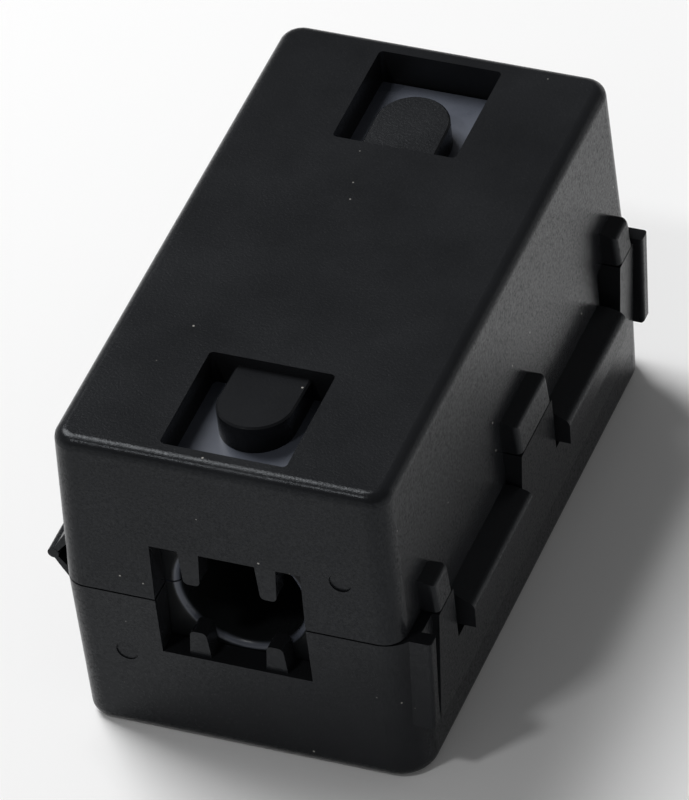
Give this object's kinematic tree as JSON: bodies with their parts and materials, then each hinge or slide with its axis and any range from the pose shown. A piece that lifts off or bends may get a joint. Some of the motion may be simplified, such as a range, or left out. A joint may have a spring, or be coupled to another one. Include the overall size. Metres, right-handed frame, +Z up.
{
  "type": "clip-on ferrite bead",
  "caption": "Rectangular hinged plastic case that snaps shut round a cable, with a split ferrite core inside, comb-edged cable openings and windows with spring tongues.",
  "frame": {"origin": "on the flat resting face, straight below the middle of the bore", "axes": "+Y along the cable bore, +X towards the latch side, +Z up through the top wall"},
  "size_m": [0.0209, 0.0336, 0.0191],
  "materials": {
    "case_plastic": "fine moulded texture, near black",
    "ferrite": "ground ferrite, dark bluish grey, slight gloss"
  },
  "bodies": {
    "lower": {"lower_case": "case_plastic", "lower_core": "ferrite"},
    "upper": {"upper_case": "case_plastic", "upper_core": "ferrite"}
  },
  "joints": [
    {"name": "case_hinge", "type": "hinge", "parent": "lower", "child": "upper", "pos_m": [-0.01025, 0, 0.00955], "axis": [0, -1, 0], "range_deg": [0, 180]}
  ]
}
